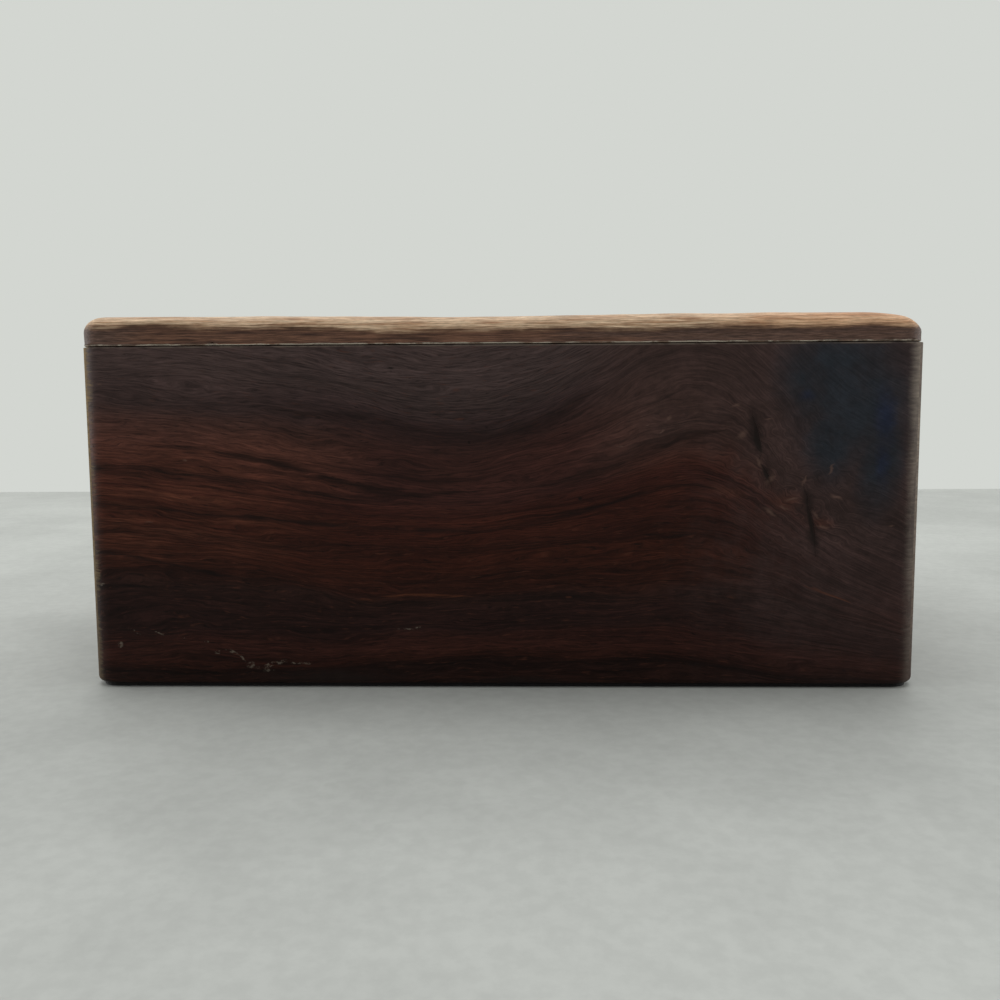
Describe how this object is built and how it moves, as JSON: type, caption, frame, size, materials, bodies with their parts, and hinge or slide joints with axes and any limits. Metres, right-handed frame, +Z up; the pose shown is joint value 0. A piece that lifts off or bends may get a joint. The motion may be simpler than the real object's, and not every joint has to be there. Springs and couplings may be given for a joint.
{
  "type": "trinket box",
  "caption": "Low rectangular trinket box in dark figured wood with rounded corners and a flush, hand-eased lid on brass butt hinges.",
  "frame": {"origin": "middle of the box's footprint, hinge barrels included, on the surface it stands on", "axes": "+Z up, +X to the right as seen from the front, the front faces -Y and the hinges are at +Y"},
  "size_m": [0.17, 0.1126, 0.076],
  "materials": {
    "wall_wood": "dark rosewood, satin oil and wax",
    "lid_wood": "dark rosewood, satin, paler on the hand-sanded edge",
    "base_wood": "plain rosewood, thinly oiled",
    "base_felt": "black felt",
    "lining_felt": "dark red felt",
    "hinge_brass": "brushed brass, a little tarnished",
    "screw_brass": "turned brass"
  },
  "bodies": {
    "case": {"front_wall": "wall_wood", "right_wall": "wall_wood", "back_wall": "wall_wood", "left_wall": "wall_wood", "base_board": "base_wood", "base_felt": "base_felt", "floor_felt": "lining_felt", "left_hinge_wall_leaf": "hinge_brass", "left_hinge_pin": "hinge_brass", "left_hinge_wall_screws": "screw_brass", "right_hinge_wall_leaf": "hinge_brass", "right_hinge_pin": "hinge_brass", "right_hinge_wall_screws": "screw_brass"},
    "lid": {"lid_board": "lid_wood", "left_hinge_lid_leaf": "hinge_brass", "left_hinge_lid_screws": "screw_brass", "right_hinge_lid_leaf": "hinge_brass", "right_hinge_lid_screws": "screw_brass"}
  },
  "joints": [
    {"name": "lid_hinge", "type": "hinge", "parent": "case", "child": "lid", "pos_m": [0, 0.0548, 0.07], "axis": [-1, 0, 0], "range_deg": [0, 104]}
  ]
}
